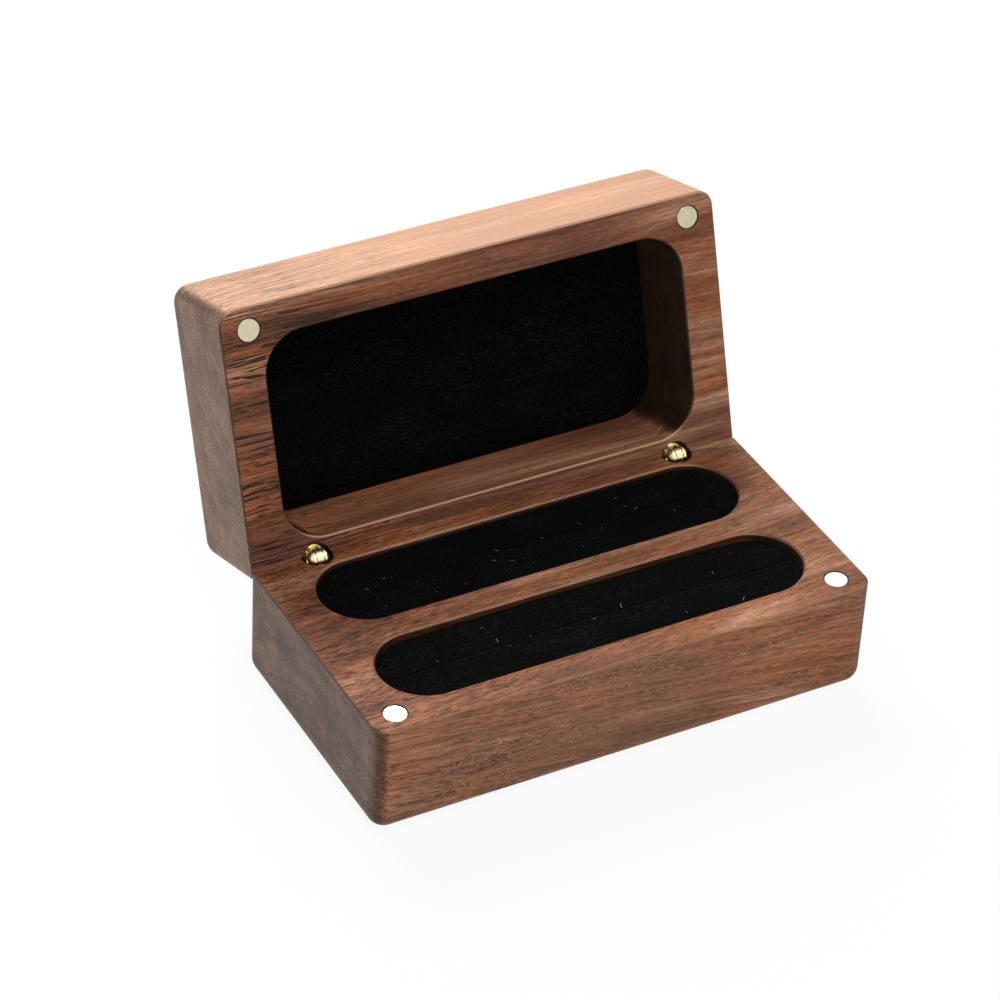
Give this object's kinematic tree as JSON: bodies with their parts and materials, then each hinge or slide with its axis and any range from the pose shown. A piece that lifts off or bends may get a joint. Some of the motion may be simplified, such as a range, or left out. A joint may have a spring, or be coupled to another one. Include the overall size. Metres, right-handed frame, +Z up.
{
  "type": "ring display box",
  "caption": "Small hinged walnut display box, stood open, with padded velvet slots in the base, a velvet-lined lid pocket, brass barrel hinges and catch magnets.",
  "frame": {"origin": "middle of the underside of the base", "axes": "+X along the length to the right, -Y towards the front, +Z up"},
  "size_m": [0.11, 0.0944, 0.0759],
  "materials": {
    "walnut": "oiled satin walnut",
    "velvet": "short black pile",
    "foam": "open cell",
    "card": "uncoated",
    "nickel": "satin nickel plate",
    "brass": "polished"
  },
  "bodies": {
    "base": {"base_block": "walnut", "front_pad_foam_front": "foam", "front_pad_foam_rear": "foam", "front_pad_velvet_front": "velvet", "front_pad_velvet_rear": "velvet", "rear_pad_foam_front": "foam", "rear_pad_foam_rear": "foam", "rear_pad_velvet_front": "velvet", "rear_pad_velvet_rear": "velvet", "base_magnet_left": "nickel", "base_magnet_right": "nickel", "left_hinge_base_barrel": "brass", "left_hinge_pin": "brass", "right_hinge_base_barrel": "brass", "right_hinge_pin": "brass"},
    "lid": {"lid_block": "walnut", "lid_lining_board": "card", "lid_lining_velvet": "velvet", "lid_magnet_left": "nickel", "lid_magnet_right": "nickel", "left_hinge_lid_barrel": "brass", "right_hinge_lid_barrel": "brass"}
  },
  "joints": [
    {"name": "lid_hinge", "type": "hinge", "parent": "base", "child": "lid", "pos_m": [0, 0.0256, 0.02457], "axis": [1, 0, 0], "range_deg": [0, 108]}
  ]
}
